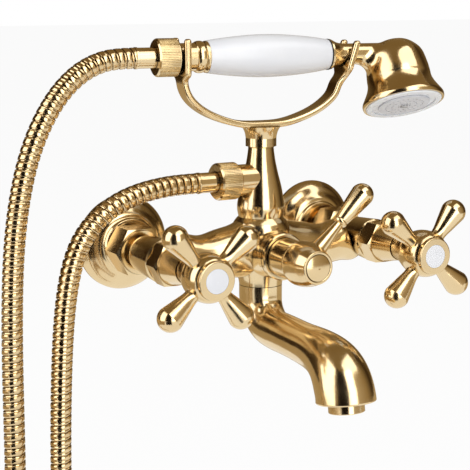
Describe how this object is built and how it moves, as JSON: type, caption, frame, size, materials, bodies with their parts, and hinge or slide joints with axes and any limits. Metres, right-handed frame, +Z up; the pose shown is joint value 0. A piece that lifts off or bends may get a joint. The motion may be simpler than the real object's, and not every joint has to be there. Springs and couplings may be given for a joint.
{
  "type": "bath shower mixer",
  "caption": "Wall-mounted bath shower mixer with cross handles, swivel spout, diverter lever and a handset on a cradle with a ribbed metal hose.",
  "frame": {"origin": "on the finished wall, midway between the two supply connections", "axes": "+X right, +Y into the wall, +Z up; the mixer stands out along -Y"},
  "size_m": [0.3566, 0.1967, 0.5837],
  "materials": {
    "polished_brass": "polished gold-coloured plating",
    "satin_brass": "knurled, satin",
    "hose_brass": "polished, ribbed",
    "plain_brass": "machined",
    "porcelain": "white glaze",
    "disc_ceramic": "lapped",
    "rubber": "matt black",
    "white_plastic": "white, glossy",
    "grey_plastic": "pale grey, translucent look",
    "stainless_steel": "plain"
  },
  "bodies": {
    "mixer": {"column_washers": "rubber", "cradle_pivot": "stainless_steel", "cradle_washer": "plain_brass", "diverter_bezel": "polished_brass", "diverter_bonnet": "polished_brass", "fixed_discs": "disc_ceramic", "headwork_left": "plain_brass", "headwork_right": "plain_brass", "mixer_body": "polished_brass", "outlet_ferrule": "polished_brass", "outlet_hose_nut": "satin_brass", "riser_column": "polished_brass", "seat_seals": "rubber", "shower_hose": "hose_brass", "shroud_left": "polished_brass", "shroud_right": "polished_brass", "spout_screw": "stainless_steel", "union_nut_left": "polished_brass", "union_nut_right": "polished_brass", "union_washers": "rubber", "wall_rose_left": "polished_brass", "wall_rose_right": "polished_brass", "wall_union_left": "polished_brass", "wall_union_right": "polished_brass"},
    "left_valve": {"turning_disc_left": "disc_ceramic", "spindle_left": "plain_brass", "handle_left": "polished_brass", "handle_screw_left": "stainless_steel", "cap_ring_left": "polished_brass", "button_left": "porcelain"},
    "right_valve": {"turning_disc_right": "disc_ceramic", "spindle_right": "plain_brass", "handle_right": "polished_brass", "handle_screw_right": "stainless_steel", "cap_ring_right": "polished_brass", "button_right": "porcelain"},
    "diverter": {"diverter_spindle": "plain_brass", "diverter_seals": "rubber", "diverter_knob": "polished_brass", "diverter_screw": "stainless_steel", "diverter_cap": "polished_brass", "diverter_lever": "polished_brass"},
    "cradle": {"cradle": "polished_brass"},
    "handset": {"handset_bell_collar": "polished_brass", "handset_collar": "polished_brass", "handset_connector": "polished_brass", "handset_core_tube": "plain_brass", "handset_ferrule": "polished_brass", "handset_grip": "porcelain", "handset_grip_seal": "rubber", "handset_head": "polished_brass", "handset_hose_nut": "satin_brass", "handset_washer": "rubber", "spray_disc": "grey_plastic", "spray_face": "white_plastic", "spray_screw": "stainless_steel"},
    "spout": {"spout": "polished_brass", "spout_seal": "rubber", "aerator_housing": "polished_brass", "aerator_insert": "white_plastic"}
  },
  "joints": [
    {"name": "left_handle_turn", "type": "hinge", "parent": "mixer", "child": "left_valve", "pos_m": [-0.0795, -0.1, 0], "axis": [0, -1, 0], "range_deg": [0, 90]},
    {"name": "right_handle_turn", "type": "hinge", "parent": "mixer", "child": "right_valve", "pos_m": [0.0795, -0.1, 0], "axis": [0, -1, 0], "range_deg": [-90, 0]},
    {"name": "diverter_turn", "type": "hinge", "parent": "mixer", "child": "diverter", "pos_m": [0, -0.1, -0.0025], "axis": [0, -1, 0], "range_deg": [0, 86]},
    {"name": "cradle_swivel", "type": "hinge", "parent": "mixer", "child": "cradle", "pos_m": [0, -0.059, 0.07], "axis": [0, 0, 1], "range_deg": [-15, 25], "deforming": ["shower_hose"]},
    {"name": "handset_lift", "type": "slide", "parent": "cradle", "child": "handset", "axis": [0, 0, 1], "range_m": [0, 0.03], "deforming": ["shower_hose"]},
    {"name": "spout_swivel", "type": "hinge", "parent": "mixer", "child": "spout", "pos_m": [0, -0.059, -0.03], "axis": [0, 0, 1], "range_deg": [-30, 30]}
  ]
}
